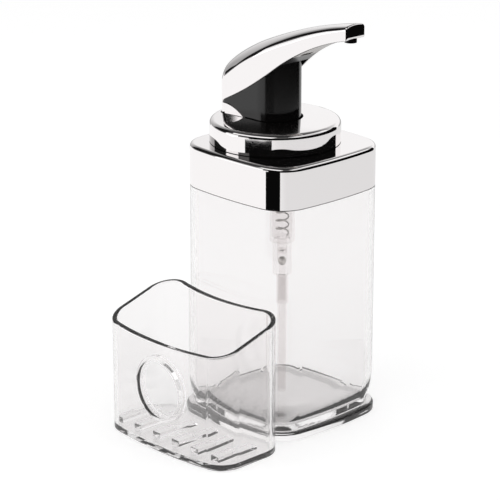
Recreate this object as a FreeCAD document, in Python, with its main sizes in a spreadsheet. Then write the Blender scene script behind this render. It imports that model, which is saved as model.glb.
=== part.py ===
import FreeCAD, Part
import math
import os
from types import SimpleNamespace

import Sketcher

# Soap pump with a caddy beside it. Millimetres, +Z up.
# The origin is under the middle of the bottle. The spout points to +X and the caddy stands on the -Y side.

os.makedirs("parts", exist_ok=True)
doc = FreeCAD.newDocument("soap_pump_caddy")

SIZES = [
    # Bottle plan: a square with bowed sides and round corners
    ("body_half", 40.0, "half the width across the middle of two sides"),
    ("side_radius", 231.0, "radius of a bowed side"),
    ("corner_radius", 17.0, "radius of the four corners"),
    # Bottle and its base
    ("base_grow", 1.0, "how far the base stands out past the bottle"),
    ("base_height", 4.4, "height of the base's rim"),
    ("base_edge", 1.5, "rounding of the base's rim"),
    ("base_recess", 2.0, "depth of the seat for the bottle's foot"),
    ("base_fit", 0.1, "gap round the bottle's foot in its seat"),
    ("foot_inset", 3.9, "how far the foot draws in"),
    ("foot_rise", 22.0, "height over which the foot draws in"),
    ("seam_height", 124.2, "height of the bottle's shoulder, where the collar starts"),
    ("rim_rise", 13.8, "height of the bottle's rim inside the collar"),
    ("rim_inset", 1.7, "step from the bottle's side in to its rim"),
    ("bottle_wall", 3.2, "wall of the bottle"),
    ("bottle_floor", 4.8, "thickness of the bottle's floor"),
    ("floor_inset", 7.5, "how far the cavity's floor lies in from the side"),
    ("cavity_rise", 13.0, "height over which the cavity widens"),
    # Collar of the lid
    ("collar_gap", 0.4, "open seam under the collar"),
    ("collar_height", 22.0, "height of the collar"),
    ("collar_wall", 1.3, "side wall of the collar"),
    ("collar_top", 1.5, "top wall of the collar"),
    ("collar_edge", 2.2, "rounding of the collar's top edge"),
    ("collar_fit", 0.15, "gap between the collar and its liner"),
    # Liner of the lid, and its seal
    ("plug_clear", 0.3, "gap between the plug and the bottle's mouth"),
    ("plug_depth", 10.0, "depth of the plug below the bottle's rim"),
    ("liner_wall", 1.2, "wall of the plug"),
    ("flange_thick", 2.0, "thickness of the liner's flange"),
    ("deck_thick", 2.5, "thickness of the deck that carries the pump"),
    ("seal_thick", 1.0, "thickness of the lid's seal"),
    ("pillar_radius", 3.4, "radius of the screw pillars"),
    ("pillar_reach", 26.5, "distance of the pillars from the cap's axis"),
    ("pillar_drop", 2.1, "how far the pillars end below the collar's top wall"),
    # Round cap
    ("cap_setback", 5.5, "distance of the cap's axis behind the bottle's axis"),
    ("cap_radius", 34.0, "radius of the cap"),
    ("cap_gap", 0.3, "gap under the cap's skirt"),
    ("cap_height", 11.6, "height of the cap's side"),
    ("cap_crown", 1.2, "rise of the cap's top at its middle"),
    ("cap_edge", 2.6, "rounding of the cap's rim"),
    ("cap_wall", 1.5, "side wall of the cap"),
    ("cap_top", 2.2, "top wall of the cap at its rim"),
    ("cap_fit", 0.1, "gap between the cap and its guide"),
    ("cap_hole", 31.0, "radius of the collar's opening under the cap"),
    ("guide_flange", 2.0, "thickness of the guide's flange"),
    ("guide_wall", 1.2, "wall of the guide's sleeve"),
    ("screw_shank", 1.2, "radius of a cap screw's shank"),
    ("screw_length", 14.0, "length of a cap screw's shank"),
    ("screw_head", 2.6, "radius of a cap screw's head"),
    ("screw_head_height", 1.6, "height of a cap screw's head"),
    # Head
    ("head_half", 14.0, "half the width of the head over the neck"),
    ("head_back", 34.5, "distance of the head's back behind the bottle's axis"),
    ("head_corner", 6.0, "radius of the head's back corners"),
    ("head_wall", 1.4, "wall of the head's shell"),
    ("head_clear", 0.5, "gap round the head in the cap's opening"),
    ("heel_front", 14.5, "distance of the heel's toe behind the bottle's axis"),
    ("heel_rise", 5.8, "height of the heel above the cap's rim at its back"),
    ("heel_curve", 26.0, "radius of the heel's upper edge"),
    ("heel_gap", 1.0, "open line between the heel and the shell"),
    ("back_round", 16.5, "radius of the shell's back, seen from the side"),
    ("back_round_foot", 17.5, "height above the cap's rim where the shell's back starts to round over"),
    ("back_round_reach", 8.0, "distance along X over which the back rounds over"),
    ("back_round_rise", 14.6, "height over which the back rounds over"),
    ("back_thick", 5.4, "thickness of the shell's back"),
    ("flat_edge", 3.4, "length of the flat start of the shell's lower edge"),
    ("rear_curve", 168.8, "radius of the lower edge's rear part, hollow"),
    ("spout_curve", 109.0, "radius of the lower edge under the spout"),
    ("curve_at", 3.3, "distance of the place where the two curves meet in front of the bottle's axis"),
    ("curve_rise", 27.6, "height above the cap's rim of the place where the two curves meet"),
    ("tip_rise", 50.9, "height above the cap's rim of the spout's lower edge at its tip"),
    ("neck_inset", 0.6, "how far the black neck lies in from the shell"),
    ("neck_wall", 1.8, "wall of the hollow neck"),
    ("neck_sink", 8.0, "how far the neck reaches below the cap's rim"),
    ("neck_back_rise", 9.5, "height above the cap's rim of the neck's sloping roof at its back"),
    ("neck_slope", 0.55, "rise of the neck's roof per millimetre forward"),
    ("socket_radius", 4.6, "radius of the socket for the stem"),
    ("socket_sink", 5.5, "how far the socket's lower end lies below the cap's rim"),
    ("stroke", 13.0, "travel of the head"),
    # Underside of the spout, nozzle and delivery tube
    ("cover_thick", 1.6, "thickness of the spout's underside cover"),
    ("cover_fit", 0.1, "gap round the underside cover"),
    ("slot_at", 17.0, "distance of the drain slot in front of the bottle's axis"),
    ("slot_length", 7.5, "length of the drain slot across the spout"),
    ("slot_width", 2.6, "width of the drain slot"),
    ("nozzle_at", 47.2, "reach of the nozzle from the bottle's axis"),
    ("nozzle_radius", 3.1, "radius of the nozzle's foot"),
    ("nozzle_block", 2.0, "radius of the nozzle inside the spout"),
    ("nozzle_bore", 0.8, "radius of the nozzle's outlet"),
    ("nozzle_drop", 2.1, "how far the nozzle hangs below the tip's lower edge"),
    ("nozzle_seat", 0.5, "gap between the nozzle's foot and the tip's lower edge"),
    ("nozzle_inlet", 3.4, "height of the nozzle's inlet above the tip's lower edge"),
    ("nozzle_roof", 1.8, "height of the nozzle's top above its inlet"),
    ("tube_radius", 1.4, "radius of the delivery tube"),
    ("tube_bore", 0.7, "bore radius of the delivery tube"),
    ("tube_bend_rise", 38.5, "height above the cap's rim where the delivery tube leaves the upright"),
    ("tube_bend", 12.0, "bend radius of the delivery tube"),
    ("tube_socket", 0.5, "depth of the delivery tube in the nozzle"),
    # Pump
    ("stem_radius", 3.0, "radius of the stem"),
    ("stem_bore", 1.5, "bore radius of the stem"),
    ("stem_rise", 23.5, "height of the stem's upper end above the cap's rim"),
    ("running_fit", 0.06, "radial clearance of the sliding pump parts"),
    ("piston_height", 8.0, "height of the piston"),
    ("cylinder_bore", 6.1, "bore radius of the pump's cylinder"),
    ("cylinder_wall", 1.5, "wall of the pump's cylinder"),
    ("cylinder_foot", 94.0, "height of the cylinder's lower end"),
    ("cylinder_ledge", 2.0, "thickness of the ledge in the cylinder's foot"),
    ("ledge_bore", 4.6, "bore radius of that ledge"),
    ("pump_flange", 10.5, "radius of the cylinder's flange"),
    ("pump_flange_thick", 2.0, "thickness of the cylinder's flange"),
    ("gasket_thick", 0.8, "thickness of the pump's gasket"),
    ("deck_fit", 0.1, "gap round the cylinder in the deck and the nut"),
    ("nut_radius", 12.0, "radius over the corners of the pump's nut"),
    ("nut_height", 6.0, "height of the pump's nut"),
    ("closure_thick", 2.3, "thickness of the cylinder's closure"),
    ("closure_hub", 5.0, "radius of the closure's hub"),
    ("hub_gap", 0.3, "gap between socket and hub with the head down"),
    # Foot valve, ball, spring and dip tube
    ("valve_radius", 5.8, "radius of the foot valve"),
    ("valve_height", 18.0, "height of the foot valve's chamber section"),
    ("valve_bore", 3.0, "bore radius of the ball's chamber"),
    ("seat_bore", 1.9, "bore radius under the ball's seat"),
    ("seat_height", 4.5, "height of the seat's lower edge in the valve"),
    ("seat_rise", 2.5, "height of the seat's cone"),
    ("ball_radius", 2.4, "radius of the inlet ball"),
    ("ball_gap", 0.08, "gap between the ball and its seat"),
    ("ball_rise", 2.0, "rise of the ball when it opens"),
    ("retainer_thick", 2.0, "thickness of the ball's retainer"),
    ("retainer_bar", 1.4, "width of the retainer's bar"),
    ("retainer_bore", 2.3, "bore radius of the retainer's ring"),
    ("socket_wall", 0.9, "wall of the dip tube's socket"),
    ("socket_length", 16.5, "length of the dip tube's socket"),
    ("socket_stop", 2.0, "depth of the stop at the socket's upper end"),
    ("dip_radius", 2.75, "radius of the dip tube"),
    ("dip_bore", 1.95, "bore radius of the dip tube"),
    ("dip_clear", 2.3, "gap between the dip tube and the bottle's floor"),
    ("spring_radius", 3.8, "radius of the spring at the middle of its wire"),
    ("spring_wire", 0.9, "diameter of the spring's wire"),
    ("spring_turns", 6, "turns of the spring"),
    ("spring_gap", 0.05, "gap at each end of the spring"),
    # Caddy
    ("caddy_half", 44.6, "half the width of the caddy"),
    ("caddy_gap", 4.0, "gap between the bottle's side and the caddy, at the middle"),
    ("caddy_back_radius", 154.0, "radius of the caddy's hollow back"),
    ("caddy_front", 88.8, "distance of the caddy's front in front of the bottle's axis"),
    ("front_radius", 215.0, "radius of the caddy's bowed front wall"),
    ("caddy_corner", 12.9, "radius of the caddy's corners"),
    ("caddy_wall", 2.6, "wall of the caddy"),
    ("caddy_floor", 3.0, "thickness of the caddy's floor"),
    ("caddy_foot", 1.2, "rounding of the caddy's lower edge"),
    ("caddy_front_height", 59.3, "height of the caddy's front rim"),
    ("caddy_back_height", 74.2, "height of the caddy's back rim"),
    ("caddy_back", 38.2, "distance where the rim reaches its back height"),
    ("rim_round", 0.8, "rounding of the caddy's rim"),
    ("hole_radius", 15.5, "radius of the hole in the caddy's front"),
    ("hole_height", 34.0, "height of that hole's middle"),
    ("lip_width", 2.0, "width of the lip round the hole"),
    ("lip_depth", 2.8, "how far the lip stands in from the wall"),
    ("rib_count", 6, "number of floor ribs"),
    ("rib_pitch", 14.2, "distance from rib to rib"),
    ("rib_width", 5.2, "width of a rib"),
    ("rib_shift", 2.0, "how far the row of ribs lies left of the caddy's middle"),
    ("rib_front", 80.0, "distance of the ribs' front ends in front of the bottle's axis"),
    ("rib_step", 68.5, "distance of the step in the ribs"),
    ("rib_rear", 54.5, "distance of the ribs' rear ends"),
    ("rib_height", 3.0, "height of a rib's front part"),
    ("rib_low_height", 1.6, "height of a rib's rear part"),
]

# Stations of the head's shell from back to tip: place along X, half width, height of the crest above the
# cap's rim, and depth of the round crown
STATIONS = {
    "back": (-34.5, 13.9, 26.5, 11.5),
    "heel": (-24.5, 14.0, 33.3, 11.4),
    "hump": (-14.0, 13.9, 39.0, 10.3),
    "brow": (-3.0, 13.2, 43.7, 7.9),
    "throat": (8.6, 11.3, 48.0, 5.8),
    "waist": (23.0, 8.5, 52.6, 3.9),
    "beak": (37.0, 7.1, 56.1, 2.4),
    "tip": (50.8, 6.7, 58.8, 1.3),
}
STATION_SIZES = "at", "half", "crest", "crown"

sheet = doc.addObject("Spreadsheet::Sheet", "sizes")
for station, numbers in STATIONS.items():
    for word, number in zip(STATION_SIZES, numbers):
        SIZES.append((f"{station}_{word}", number, f"head shell at its {station}: {word}"))


class Size:
    """A value that knows both its expression over the sheet and its number."""

    def __init__(self, text, number):
        self.text = text
        self.number = number

    def __add__(self, other):
        other = as_size(other)
        return Size(f"({self.text} + {other.text})", self.number + other.number)

    def __sub__(self, other):
        other = as_size(other)
        return Size(f"({self.text} - {other.text})", self.number - other.number)

    def __mul__(self, other):
        other = as_size(other)
        return Size(f"({self.text} * {other.text})", self.number * other.number)

    def __truediv__(self, other):
        other = as_size(other)
        return Size(f"({self.text} / {other.text})", self.number / other.number)

    def __neg__(self):
        return Size(f"(0 - {self.text})", -self.number)

    def __pow__(self, power):
        return Size(f"({self.text} ^ {power})", self.number ** power)

    def __rsub__(self, other):
        return as_size(other) - self

    __radd__ = __add__
    __rmul__ = __mul__


def as_size(value):
    """A plain number as a Size; a Size as it is."""
    return value if isinstance(value, Size) else Size(f"({value})", float(value))


def root(value):
    return Size(f"sqrt({value.text})", math.sqrt(value.number))


size = SimpleNamespace()
for row, (alias, number, meaning) in enumerate(SIZES, start=1):
    sheet.set(f"A{row}", meaning)
    sheet.set(f"B{row}", str(number))
    sheet.setAlias(f"B{row}", alias)
    setattr(size, alias, Size(f"sizes.{alias}", number))
doc.recompute()


def number_of(value):
    return as_size(value).number


def bind(item, target, value):
    """Ties a property of an object to the sheet."""
    item.setExpression(target, as_size(value).text)


# Levels along Z and other places that follow from the sizes
BOTTLE_FOOT = size.base_height - size.base_recess
CAVITY_FLOOR = BOTTLE_FOOT + size.bottle_floor
RIM_TOP = size.seam_height + size.rim_rise
COLLAR_FOOT = size.seam_height + size.collar_gap
COLLAR_TOP = COLLAR_FOOT + size.collar_height
PLATE_UNDER = COLLAR_TOP - size.collar_top
FLANGE_FOOT = RIM_TOP + size.seal_thick
DECK_FOOT = RIM_TOP - size.plug_depth
DECK_TOP = DECK_FOOT + size.deck_thick
PILLAR_TOP = PLATE_UNDER - size.pillar_drop
CAP_FOOT = COLLAR_TOP + size.cap_gap
CAP_RIM = CAP_FOOT + size.cap_height
CAP_INSIDE = CAP_RIM - size.cap_top
NECK_FOOT = CAP_RIM - size.neck_sink
SOCKET_FLOOR = CAP_RIM - size.socket_sink
STEM_TOP = CAP_RIM + size.stem_rise
TIP_LOW = CAP_RIM + size.tip_rise
TIP_TOP = CAP_RIM + size.tip_crest
FLANGE_TOP = DECK_TOP + size.gasket_thick + size.pump_flange_thick
PISTON_FOOT = FLANGE_TOP - size.piston_height
LEDGE_TOP = size.cylinder_foot + size.cylinder_ledge
VALVE_FOOT = size.cylinder_foot - size.valve_height
SEAT_FOOT = VALVE_FOOT + size.seat_height
SEAT_TOP = SEAT_FOOT + size.seat_rise
SEAT_SLANT = (size.valve_bore - size.seat_bore) / size.seat_rise
BALL_SLANT = (size.ball_radius + size.ball_gap) * root(SEAT_SLANT ** 2 + 1)
BALL_HEIGHT = SEAT_FOOT + (BALL_SLANT - size.seat_bore) / SEAT_SLANT
RETAINER_FOOT = BALL_HEIGHT + size.ball_radius + size.ball_rise + size.hub_gap
SOCKET_TOP = VALVE_FOOT - size.socket_stop
CYLINDER_OUTER = size.cylinder_bore + size.cylinder_wall
SIDE_CENTRE = size.side_radius - size.body_half
CADDY_CENTRE = size.caddy_back_radius - size.body_half - size.caddy_gap


def new_body(label):
    body = doc.addObject("PartDesign::Body", label)
    body.Label = label
    return body


def new_sketch(body, role, name, offset=0):
    """A sketch on one of the body's own origin planes, moved along that plane's normal."""
    plane = next(feature for feature in body.Origin.OriginFeatures if feature.Role == role)
    sketch = body.newObject("Sketcher::SketchObject", f"{body.Name}_{name}")
    sketch.AttachmentSupport = [(plane, "")]
    sketch.MapMode = "FlatFace"
    bind(sketch, "AttachmentOffset.Base.z", offset)
    return sketch


def constrain(sketch, kind, geometry, value):
    """Adds a dimension to a sketch and ties it to the sheet."""
    index = sketch.addConstraint(Sketcher.Constraint(kind, *geometry, number_of(value)))
    bind(sketch, f"Constraints[{index}]", value)


def arc_between(start, end, radius):
    """The arc from start to end that bulges to the right of the way from start to end."""
    middle = (start + end) * 0.5
    chord = end - start
    left = FreeCAD.Vector(-chord.y, chord.x, 0).normalize()
    centre = middle + left * math.sqrt(max(radius ** 2 - (chord.Length / 2) ** 2, 0.0))
    circle = Part.Circle(centre, FreeCAD.Vector(0, 0, 1), radius)
    first = math.atan2(start.y - centre.y, start.x - centre.x)
    last = math.atan2(end.y - centre.y, end.x - centre.x)
    return Part.ArcOfCircle(circle, first, last)


def outline(sketch, corners, bulges=None):
    """A closed outline through pinned corners, counterclockwise, straight but for the sides in bulges.

    bulges gives a side's radius by its number. A negative radius makes a hollow side."""
    bulges = bulges or {}
    points = [FreeCAD.Vector(number_of(x), number_of(y), 0) for x, y in corners]
    ends = []
    for number, point in enumerate(points):
        following = points[(number + 1) % len(points)]
        if number not in bulges:
            index = sketch.addGeometry(Part.LineSegment(point, following))
            ends.append((index, 1, 2))
            continue
        radius = bulges[number]
        if number_of(radius) < 0:
            radius = -radius
            index = sketch.addGeometry(arc_between(following, point, number_of(radius)))
            ends.append((index, 2, 1))
        else:
            index = sketch.addGeometry(arc_between(point, following, number_of(radius)))
            ends.append((index, 1, 2))
        constrain(sketch, "Radius", (index,), radius)
    for number, (x, y) in enumerate(corners):
        index, first, last = ends[number]
        next_index, next_first, next_last = ends[(number + 1) % len(ends)]
        sketch.addConstraint(Sketcher.Constraint("Coincident", index, last, next_index, next_first))
        constrain(sketch, "DistanceX", (-1, 1, index, first), x)
        constrain(sketch, "DistanceY", (-1, 1, index, first), y)


def circle(sketch, x, y, radius):
    centre = FreeCAD.Vector(number_of(x), number_of(y), 0)
    index = sketch.addGeometry(Part.Circle(centre, FreeCAD.Vector(0, 0, 1), number_of(radius)))
    constrain(sketch, "Radius", (index,), radius)
    constrain(sketch, "DistanceX", (-1, 1, index, 3), x)
    constrain(sketch, "DistanceY", (-1, 1, index, 3), y)


def rectangle(sketch, left, right, low, high):
    outline(sketch, [(left, low), (right, low), (right, high), (left, high)])


def arc_about(centre, radius, first, last):
    return Part.ArcOfCircle(Part.Circle(centre, FreeCAD.Vector(0, 0, 1), radius), first, last)


def bowed_square(sketch, inset):
    """The bottle's plan, drawn in by inset: four bowed sides and four corners, all tangent."""
    side_radius = size.side_radius - inset
    corner_radius = size.corner_radius - inset
    centre = -number_of(SIDE_CENTRE)
    reach = number_of(size.side_radius - size.corner_radius)
    corner = (centre + math.sqrt(2 * reach ** 2 - centre ** 2)) / 2
    lean = math.atan2(corner, corner - centre)
    sides = []
    corners = []
    for quarter in range(4):
        turn = FreeCAD.Rotation(FreeCAD.Vector(0, 0, 1), 90 * quarter)
        start = quarter * math.pi / 2
        side_middle = turn.multVec(FreeCAD.Vector(centre, 0, 0))
        corner_middle = turn.multVec(FreeCAD.Vector(corner, corner, 0))
        side = arc_about(side_middle, number_of(side_radius), start - lean, start + lean)
        end = start + math.pi / 2
        rounding = arc_about(corner_middle, number_of(corner_radius), start + lean, end - lean)
        sides.append(sketch.addGeometry(side))
        corners.append(sketch.addGeometry(rounding))
    for quarter in range(4):
        following = sides[(quarter + 1) % 4]
        sketch.addConstraint(Sketcher.Constraint("Tangent", sides[quarter], 2, corners[quarter], 1))
        sketch.addConstraint(Sketcher.Constraint("Tangent", corners[quarter], 2, following, 1))
        axis, across = (-1, "DistanceX") if quarter % 2 == 0 else (-2, "DistanceY")
        sign = -1 if quarter < 2 else 1
        sketch.addConstraint(Sketcher.Constraint("PointOnObject", sides[quarter], 3, axis))
        constrain(sketch, across, (-1, 1, sides[quarter], 3), SIDE_CENTRE * sign)
        if quarter:
            sketch.addConstraint(Sketcher.Constraint("Equal", sides[0], sides[quarter]))
            sketch.addConstraint(Sketcher.Constraint("Equal", corners[0], corners[quarter]))
    constrain(sketch, "Radius", (sides[0],), side_radius)
    constrain(sketch, "Radius", (corners[0],), corner_radius)


def head_plan(sketch, grow):
    """The head's plan over the cap, grown by an amount.

    The front is round about the cap's axis, the sides are straight and the back has round corners."""
    half = size.head_half + grow
    back = -size.head_back - grow
    corner = size.head_corner + grow
    axis = -size.cap_setback
    corners = [
        (axis, -half),
        (axis + half, 0),
        (axis, half),
        (back + corner, half),
        (back, half - corner),
        (back, corner - half),
        (back + corner, -half),
    ]
    outline(sketch, corners, {0: half, 1: half, 3: corner, 5: corner})


def caddy_plan(sketch, inset):
    """The caddy's plan, drawn in by inset.

    The back is hollow along the bottle, the front is bowed, the sides are straight, all corners round."""
    back_radius = size.caddy_back_radius + inset
    front_radius = size.front_radius - inset
    corner_radius = size.caddy_corner - inset
    half = size.caddy_half - inset
    front_centre = size.front_radius - size.caddy_front
    corner = number_of(corner_radius)
    corner_x = number_of(half) - corner
    back_y = number_of(CADDY_CENTRE)
    front_y = number_of(front_centre)
    back_corner_y = back_y - math.sqrt((number_of(back_radius) + corner) ** 2 - corner_x ** 2)
    front_corner_y = front_y - math.sqrt((number_of(front_radius) - corner) ** 2 - corner_x ** 2)
    back_lean = math.atan2(corner_x, back_y - back_corner_y)
    front_lean = math.atan2(corner_x, front_y - front_corner_y)
    down = -math.pi / 2
    back_middle = FreeCAD.Vector(0, back_y, 0)
    back_arc = arc_about(back_middle, number_of(back_radius), down - back_lean, down + back_lean)
    back = sketch.addGeometry(back_arc)
    front_middle = FreeCAD.Vector(0, front_y, 0)
    front_arc = arc_about(front_middle, number_of(front_radius), down - front_lean, down + front_lean)
    front = sketch.addGeometry(front_arc)
    corner_spans = [
        (corner_x, back_corner_y, 0.0, math.pi / 2 + back_lean),
        (-corner_x, back_corner_y, math.pi / 2 - back_lean, math.pi),
        (-corner_x, front_corner_y, math.pi, 1.5 * math.pi - front_lean),
        (corner_x, front_corner_y, down + front_lean, 0.0),
    ]
    rounds = []
    for x, y, first, last in corner_spans:
        rounds.append(sketch.addGeometry(arc_about(FreeCAD.Vector(x, y, 0), corner, first, last)))
    back_right, back_left, front_left, front_right = rounds
    side_x = corner_x + corner
    left_back = FreeCAD.Vector(-side_x, back_corner_y, 0)
    left_front = FreeCAD.Vector(-side_x, front_corner_y, 0)
    left = sketch.addGeometry(Part.LineSegment(left_back, left_front))
    right_front = FreeCAD.Vector(side_x, front_corner_y, 0)
    right_back = FreeCAD.Vector(side_x, back_corner_y, 0)
    right = sketch.addGeometry(Part.LineSegment(right_front, right_back))
    joins = [
        (right, 2, back_right, 1),
        (back_right, 2, back, 2),
        (back, 1, back_left, 1),
        (back_left, 2, left, 1),
        (left, 2, front_left, 1),
        (front_left, 2, front, 1),
        (front, 2, front_right, 1),
        (front_right, 2, right, 1),
    ]
    for join in joins:
        sketch.addConstraint(Sketcher.Constraint("Tangent", *join))
    for arc, radius, middle in ((back, back_radius, CADDY_CENTRE), (front, front_radius, front_centre)):
        sketch.addConstraint(Sketcher.Constraint("PointOnObject", arc, 3, -2))
        constrain(sketch, "DistanceY", (-1, 1, arc, 3), middle)
        constrain(sketch, "Radius", (arc,), radius)
    for rounding in rounds[1:]:
        sketch.addConstraint(Sketcher.Constraint("Equal", rounds[0], rounding))
    constrain(sketch, "Radius", (rounds[0],), corner_radius)
    for line, sign in ((left, -1), (right, 1)):
        sketch.addConstraint(Sketcher.Constraint("Vertical", line))
        constrain(sketch, "DistanceX", (-1, 1, line, 1), half * sign)


def pad(body, sketch, length, both_ways=False):
    """Material along the sketch's normal."""
    feature = body.newObject("PartDesign::Pad", f"{sketch.Name}_pad")
    feature.Profile = sketch
    bind(feature, "Length", length)
    if both_ways:
        feature.SideType = "Symmetric"
    doc.recompute()
    return feature


def pocket(body, sketch, length, both_ways=False):
    """A cut along the sketch's normal. It has to take material away."""
    before = body.Shape.Volume
    feature = body.newObject("PartDesign::Pocket", f"{sketch.Name}_cut")
    feature.Profile = sketch
    bind(feature, "Length", length)
    if both_ways:
        feature.SideType = "Symmetric"
    else:
        feature.Reversed = True
    doc.recompute()
    if body.Shape.Volume >= before - 1e-6:
        raise RuntimeError(f"{feature.Name} cuts nothing")
    return feature


def loft(body, kind, sketches):
    """A smooth solid, added or taken away, through the sketches."""
    feature = body.newObject(f"PartDesign::{kind}", f"{sketches[0].Name}_loft")
    feature.Profile = sketches[0]
    feature.Sections = sketches[1:]
    doc.recompute()
    return feature


def fillet(body, base, chosen, radius):
    """Rounds the edges of the base feature that chosen picks."""
    names = [f"Edge{n}" for n, edge in enumerate(base.Shape.Edges, start=1) if chosen(edge)]
    feature = body.newObject("PartDesign::Fillet", f"{base.Name}_round")
    feature.Base = (base, names)
    bind(feature, "Radius", radius)
    doc.recompute()
    return feature


def edge_lies_at(level):
    """Picks the edges that lie flat at a height."""
    height = number_of(level)
    return lambda edge: abs(edge.BoundBox.ZMin - height) < 1e-4 and abs(edge.BoundBox.ZMax - height) < 1e-4


def turned(label, profile, bulges=None, at=0):
    """A piece turned about an upright axis, from (radius, height) corners of its section."""
    body = new_body(label)
    sketch = new_sketch(body, "XZ_Plane", "section")
    outline(sketch, profile, bulges)
    feature = body.newObject("PartDesign::Revolution", f"{label}_turn")
    feature.Profile = sketch
    feature.ReferenceAxis = (sketch, ["V_Axis"])
    feature.Angle = 360
    bind(body, "Placement.Base.x", at)
    doc.recompute()
    return body


def upright_cylinder(name, x, y, foot, radius, height):
    """A plain cylinder for building other pieces."""
    piece = doc.addObject("Part::Cylinder", name)
    bind(piece, "Radius", radius)
    bind(piece, "Height", height)
    bind(piece, "Placement.Base.x", x)
    bind(piece, "Placement.Base.y", y)
    bind(piece, "Placement.Base.z", foot)
    return piece


def boolean(kind, name, base, tool):
    piece = doc.addObject(f"Part::{kind}", name)
    piece.Base = base
    piece.Tool = tool
    doc.recompute()
    return piece


def pillar_places():
    """The four screw places about the cap's axis, as (x, y) expressions."""
    reach = size.pillar_reach * root(as_size(0.5))
    return [(reach * east - size.cap_setback, reach * north) for east in (1, -1) for north in (1, -1)]


# Bottle: clear, with a foot that draws in and a stepped rim inside the collar
def foot_inset_at(share):
    """How far the foot draws in at a share of its rise, along a round curve."""
    return size.foot_inset * (1 - share) ** 2


bottle = new_body("bottle")
foot_sections = []
for step in range(4):
    share = step / 3
    height = BOTTLE_FOOT + size.foot_rise * share
    section = new_sketch(bottle, "XY_Plane", f"foot_{step}", height)
    bowed_square(section, foot_inset_at(share))
    foot_sections.append(section)
loft(bottle, "AdditiveLoft", foot_sections)
side = new_sketch(bottle, "XY_Plane", "side", BOTTLE_FOOT + size.foot_rise)
bowed_square(side, 0)
pad(bottle, side, size.seam_height - BOTTLE_FOOT - size.foot_rise)
rim = new_sketch(bottle, "XY_Plane", "rim", size.seam_height)
bowed_square(rim, size.rim_inset)
pad(bottle, rim, size.rim_rise)
cavity_sections = []
for step in range(3):
    share = step / 2
    section = new_sketch(bottle, "XY_Plane", f"cavity_{step}", CAVITY_FLOOR + size.cavity_rise * share)
    bowed_square(section, size.bottle_wall + (size.floor_inset - size.bottle_wall) * (1 - share) ** 2)
    cavity_sections.append(section)
loft(bottle, "SubtractiveLoft", cavity_sections)
mouth = new_sketch(bottle, "XY_Plane", "mouth", CAVITY_FLOOR + size.cavity_rise)
bowed_square(mouth, size.bottle_wall)
pocket(bottle, mouth, RIM_TOP - CAVITY_FLOOR - size.cavity_rise)

# Base: a low clear foot under the bottle, with a rounded rim
base = new_body("bottle_base")
base_plan = new_sketch(base, "XY_Plane", "plan")
bowed_square(base_plan, -size.base_grow)
base_block = pad(base, base_plan, size.base_height)
fillet(base, base_block, edge_lies_at(size.base_height), size.base_edge)
seat = new_sketch(base, "XY_Plane", "seat", BOTTLE_FOOT)
bowed_square(seat, size.foot_inset * 0.8 - size.base_fit)
pocket(base, seat, size.base_recess)

# Caddy: a clear cup with a hollow back, a sloping rim, a round hole in front and ribs on its floor
caddy = new_body("caddy")
caddy_outside = new_sketch(caddy, "XY_Plane", "outside")
caddy_plan(caddy_outside, 0)
caddy_block = pad(caddy, caddy_outside, size.caddy_back_height + size.caddy_wall)
fillet(caddy, caddy_block, edge_lies_at(0), size.caddy_foot)
caddy_inside = new_sketch(caddy, "XY_Plane", "inside", size.caddy_floor)
caddy_plan(caddy_inside, size.caddy_wall)
pocket(caddy, caddy_inside, size.caddy_back_height + size.caddy_wall)
RIM_SLOPE = (size.caddy_back_height - size.caddy_front_height) / (size.caddy_front - size.caddy_back)
slope = new_sketch(caddy, "YZ_Plane", "slope")
front_y = -size.caddy_front - size.caddy_wall
back_y = -size.caddy_back + 2 * size.caddy_corner
above = 2 * size.caddy_back_height
outline(
    slope,
    [
        (front_y, size.caddy_front_height - RIM_SLOPE * size.caddy_wall),
        (back_y, size.caddy_back_height + RIM_SLOPE * (back_y + size.caddy_back)),
        (back_y, above),
        (front_y, above),
    ],
)
rim_cut = pocket(caddy, slope, 4 * size.caddy_half, both_ways=True)


def on_sloping_rim(edge):
    """Picks the edges of the caddy's rim, which all lie high up."""
    return edge.BoundBox.ZMin > number_of(size.caddy_front_height - 2 * size.caddy_wall)


fillet(caddy, rim_cut, on_sloping_rim, size.rim_round)
lip = new_sketch(caddy, "XZ_Plane", "lip", size.caddy_front - size.caddy_wall - size.lip_depth)
circle(lip, 0, size.hole_height, size.hole_radius + size.lip_width)
pad(caddy, lip, size.lip_depth + size.caddy_wall / 2)
hole = new_sketch(caddy, "XZ_Plane", "hole", (size.caddy_front + size.caddy_back) / 2)
circle(hole, 0, size.hole_height, size.hole_radius)
pocket(caddy, hole, size.caddy_front - size.caddy_back)
for part_name, near, far, high in (
    ("front_ribs", size.rib_front, size.rib_step, size.rib_height),
    ("rear_ribs", size.rib_step, size.rib_rear, size.rib_low_height),
):
    ribs = new_sketch(caddy, "XY_Plane", part_name, size.caddy_floor)
    for number in range(int(number_of(size.rib_count))):
        middle = size.rib_pitch * (number - (size.rib_count - 1) / 2) - size.rib_shift
        left_edge = middle - size.rib_width / 2
        rectangle(ribs, left_edge, middle + size.rib_width / 2, -near, -far)
    pad(caddy, ribs, high)

# Collar: plated cover of the lid, flush with the bottle's sides
collar = new_body("collar_cover")
collar_plan = new_sketch(collar, "XY_Plane", "plan", COLLAR_FOOT)
bowed_square(collar_plan, 0)
collar_block = pad(collar, collar_plan, size.collar_height)
fillet(collar, collar_block, edge_lies_at(COLLAR_TOP), size.collar_edge)
collar_hollow = new_sketch(collar, "XY_Plane", "hollow", COLLAR_FOOT)
bowed_square(collar_hollow, size.collar_wall)
pocket(collar, collar_hollow, size.collar_height - size.collar_top)
collar_hole = new_sketch(collar, "XY_Plane", "hole", PLATE_UNDER)
circle(collar_hole, -size.cap_setback, 0, size.cap_hole)
pocket(collar, collar_hole, size.collar_top)

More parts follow.
